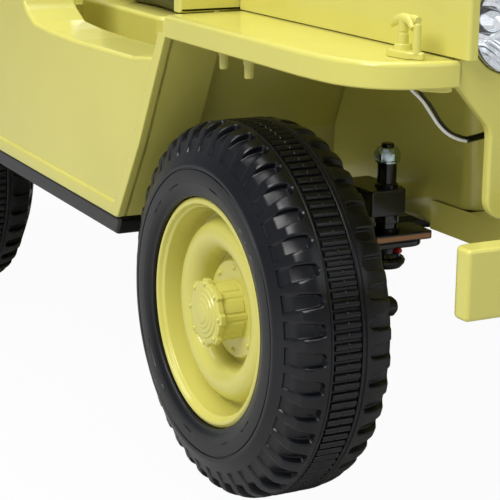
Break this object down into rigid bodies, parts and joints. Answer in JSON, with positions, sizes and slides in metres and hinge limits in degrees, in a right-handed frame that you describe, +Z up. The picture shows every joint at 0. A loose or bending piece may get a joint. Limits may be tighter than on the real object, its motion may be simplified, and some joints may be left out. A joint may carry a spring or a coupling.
{
  "type": "ride-on toy army car",
  "caption": "Child's electric ride-on open army 4x4 car with lugged tyres, flat wings, hinged bonnet, flat windscreen, seats and a spare wheel on its tail.",
  "frame": {"origin": "on the ground, half way along and across the car", "axes": "+X forward, +Y to the car's left, +Z up"},
  "size_m": [1.174, 0.662, 0.64],
  "materials": {
    "khaki_plastic": "glossy moulded plastic",
    "black_plastic": "satin",
    "black_steel": "satin black paint",
    "tyre": "satin moulded",
    "seat_vinyl": "grained vinyl",
    "lamp_chrome": "mirror plated",
    "lamp_lens": "clear",
    "clear_pane": "clear acrylic",
    "red_lens": "moulded lens"
  },
  "bodies": {
    "body": {"body_side_r": "khaki_plastic", "body_side_l": "khaki_plastic", "sill_r": "black_plastic", "sill_l": "black_plastic", "floor_pan": "khaki_plastic", "rear_tub": "khaki_plastic", "rear_panel": "khaki_plastic", "front_tub": "khaki_plastic", "fender_r": "khaki_plastic", "fender_l": "khaki_plastic", "cowl": "khaki_plastic", "grille_panel": "khaki_plastic", "headlamp_bowls": "lamp_chrome", "headlamp_lenses": "lamp_lens", "frame_horns": "khaki_plastic", "front_bumper": "khaki_plastic", "rear_bumpers": "khaki_plastic", "front_beam": "black_steel", "rear_axle": "black_steel", "gearboxes_rear": "black_plastic", "seat_pedestal": "khaki_plastic", "seat_cushions": "seat_vinyl", "seat_backs": "seat_vinyl", "windscreen_frame": "khaki_plastic", "windscreen_pane": "clear_pane", "steering_column": "black_plastic", "tail_lamps": "red_lens", "bonnet_latches": "khaki_plastic", "spare_carrier": "black_plastic", "tyre_spare": "tyre", "rim_spare": "khaki_plastic", "hub_cap_spare": "khaki_plastic"},
    "knuckle_right": {"knuckle_r": "black_steel", "kingpin_r": "black_steel", "gearbox_fr": "black_plastic"},
    "knuckle_left": {"knuckle_l": "black_steel", "kingpin_l": "black_steel", "gearbox_fl": "black_plastic"},
    "tie_rod": {"tie_rod": "black_steel"},
    "wheel_front_right": {"tyre_fr": "tyre", "rim_fr": "khaki_plastic", "hub_cap_fr": "khaki_plastic"},
    "wheel_front_left": {"tyre_fl": "tyre", "rim_fl": "khaki_plastic", "hub_cap_fl": "khaki_plastic"},
    "wheel_rear_right": {"tyre_rr": "tyre", "rim_rr": "khaki_plastic", "hub_cap_rr": "khaki_plastic"},
    "wheel_rear_left": {"tyre_rl": "tyre", "rim_rl": "khaki_plastic", "hub_cap_rl": "khaki_plastic"},
    "bonnet": {"bonnet": "khaki_plastic"},
    "steering": {"steering_wheel": "black_plastic"}
  },
  "joints": [
    {"name": "steer_right", "type": "hinge", "parent": "body", "child": "knuckle_right", "pos_m": [0.325, -0.178, 0.199], "axis": [0, 0, 1], "range_deg": [-10, 10]},
    {"name": "steer_left", "type": "hinge", "parent": "body", "child": "knuckle_left", "pos_m": [0.325, 0.178, 0.199], "axis": [0, 0, 1], "range_deg": [-10, 10]},
    {"name": "tie_rod_pivot", "type": "hinge", "parent": "knuckle_right", "child": "tie_rod", "pos_m": [0.265, -0.178, 0.171], "axis": [0, 0, 1], "range_deg": [-10, 10]},
    {"name": "steering_turn", "type": "hinge", "parent": "body", "child": "steering", "pos_m": [0.1997, 0.118, 0.398], "axis": [-0.8192, 0, 0.5736], "range_deg": [-60, 60]},
    {"name": "spin_front_right", "type": "hinge", "parent": "knuckle_right", "child": "wheel_front_right", "pos_m": [0.325, -0.285, 0.135], "axis": [0, 1, 0], "continuous": true},
    {"name": "spin_front_left", "type": "hinge", "parent": "knuckle_left", "child": "wheel_front_left", "pos_m": [0.325, 0.285, 0.135], "axis": [0, 1, 0], "continuous": true},
    {"name": "spin_rear_right", "type": "hinge", "parent": "body", "child": "wheel_rear_right", "pos_m": [-0.315, -0.285, 0.135], "axis": [0, 1, 0], "continuous": true},
    {"name": "spin_rear_left", "type": "hinge", "parent": "body", "child": "wheel_rear_left", "pos_m": [-0.315, 0.285, 0.135], "axis": [0, 1, 0], "continuous": true},
    {"name": "bonnet_hinge", "type": "hinge", "parent": "body", "child": "bonnet", "pos_m": [0.2476, 0, 0.43], "axis": [0, -1, 0], "range_deg": [0, 60]}
  ],
  "couplings": [
    {"joint": "steer_left", "follows": "steer_right", "ratio": 1},
    {"joint": "tie_rod_pivot", "follows": "steer_right", "ratio": -1},
    {"joint": "steering_turn", "follows": "steer_right", "ratio": 6}
  ]
}
